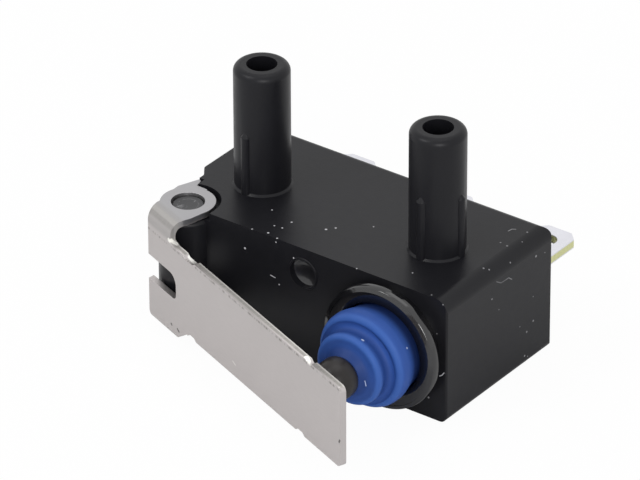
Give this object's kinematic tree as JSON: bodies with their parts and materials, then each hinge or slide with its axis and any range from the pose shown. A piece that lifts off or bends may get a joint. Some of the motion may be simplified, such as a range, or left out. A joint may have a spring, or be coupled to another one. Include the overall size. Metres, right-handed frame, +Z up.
{
  "type": "lever micro switch",
  "caption": "Sealed ultra-subminiature snap switch with a hinged lever, a rubber-booted plunger, two hollow mounting posts and three solder terminals.",
  "frame": {"origin": "centre of the housing's bottom face, opposite the posts", "axes": "+X along the housing from the lever's hinge to the plunger, -Y towards the actuated front, +Y towards the terminals, +Z up along the mounting posts"},
  "size_m": [0.0133, 0.0162, 0.0104],
  "materials": {
    "housing_black": "matte moulded, fine texture",
    "pin_dark": "dark grey, lightly scuffed end",
    "stainless": "fine-grained cold-rolled sheet",
    "ring_black": "glossy",
    "boot_blue": "satin moulded rubber",
    "plunger_dark": "semi-gloss moulded",
    "resin_black": "poured, softly glossy",
    "terminal_silver": "silver-plated brass",
    "contact_silver": "silver alloy",
    "blade_copper": "copper alloy strip",
    "spring_steel": "drawn wire"
  },
  "bodies": {
    "root": {"case": "housing_black", "hinge_pin": "pin_dark", "boot_ring": "ring_black", "boot": "boot_blue", "base_block": "housing_black", "seal_resin": "resin_black", "common_terminal": "terminal_silver", "closed_terminal": "terminal_silver", "open_terminal": "terminal_silver", "closed_contact": "contact_silver", "open_contact": "contact_silver", "return_spring": "spring_steel"},
    "lever": {"lever": "stainless"},
    "plunger": {"plunger": "plunger_dark"},
    "blade": {"moving_blade": "blade_copper", "moving_contact": "contact_silver", "snap_spring": "spring_steel"}
  },
  "joints": [
    {"name": "lever_hinge", "type": "hinge", "parent": "root", "child": "lever", "pos_m": [-0.0056, -0.00307, 0.0027], "axis": [0, 0, 1], "range_deg": [0, 8.4], "stiffness_Nm_per_rad": 0.002},
    {"name": "plunger_slide", "type": "slide", "parent": "root", "child": "plunger", "axis": [0, 1, 0], "range_m": [0, 0.00105], "deforming": ["boot", "return_spring"]},
    {"name": "blade_swing", "type": "hinge", "parent": "root", "child": "blade", "pos_m": [0.00515, -0.00005, 0.0027], "axis": [0, 0, 1], "range_deg": [-2.9, 0], "deforming": ["snap_spring"]}
  ],
  "couplings": [
    {"joint": "plunger_slide", "follows": "lever_hinge", "m_per_rad": 0.0071613},
    {"joint": "blade_swing", "follows": "lever_hinge", "ratio": -0.3452}
  ]
}
